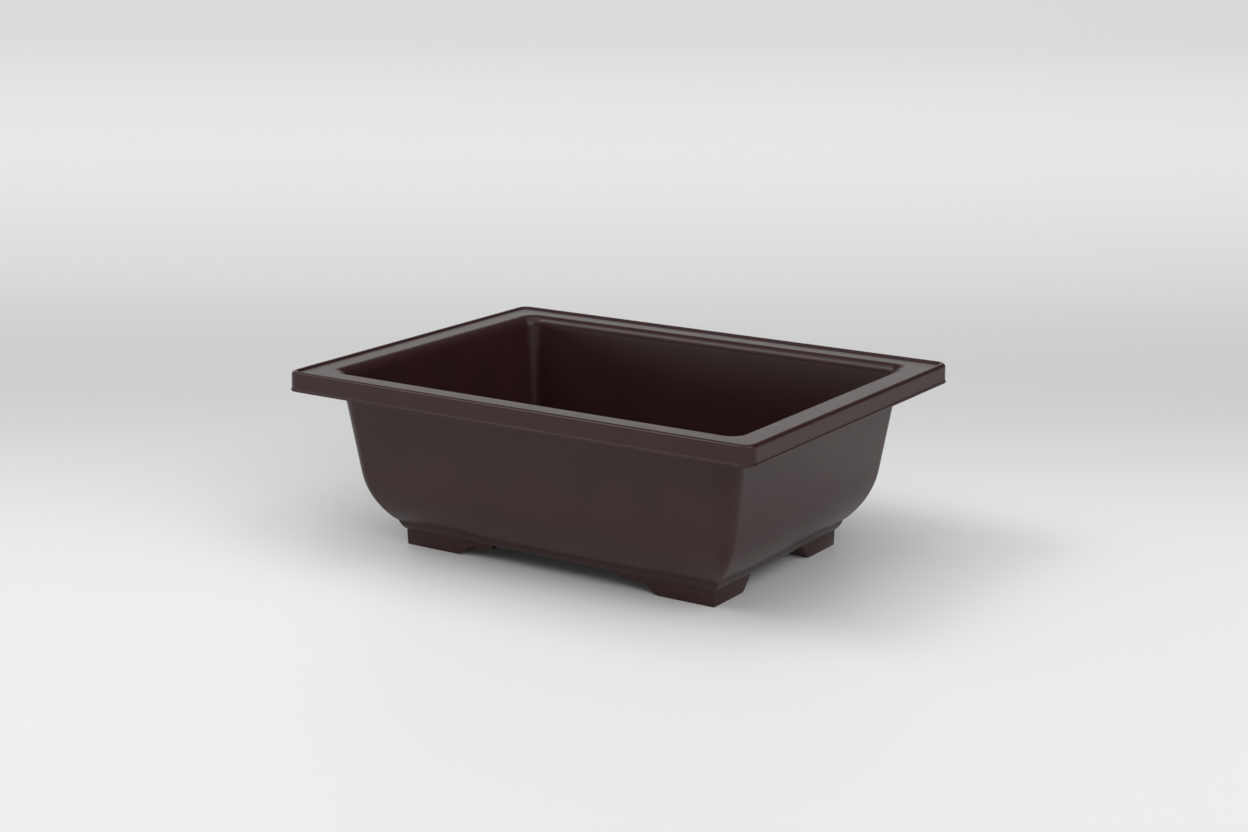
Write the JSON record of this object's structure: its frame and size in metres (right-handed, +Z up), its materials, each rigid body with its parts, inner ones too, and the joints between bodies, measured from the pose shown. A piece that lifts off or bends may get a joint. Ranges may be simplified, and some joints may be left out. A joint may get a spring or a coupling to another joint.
{
  "type": "bonsai pot",
  "caption": "Rectangular plastic bonsai training pot with a wide flat rim, walls that turn in below, corner feet, and mesh screens clipped over its drain holes.",
  "frame": {"origin": "on the ground under the middle of the pot", "axes": "+X along the long side, +Y along the short side, +Z up out of the mouth"},
  "size_m": [0.25, 0.191, 0.0875],
  "materials": {
    "pot_plastic": "satin moulded plastic, dark plum brown, very fine grain",
    "screen_mesh": "plain black plastic mesh",
    "clip_wire": "drawn aluminium wire, slightly dull"
  },
  "bodies": {
    "root": {"pot_body": "pot_plastic", "left_drain_screen": "screen_mesh", "right_drain_screen": "screen_mesh", "left_screen_clip": "clip_wire", "right_screen_clip": "clip_wire"}
  },
  "joints": []
}
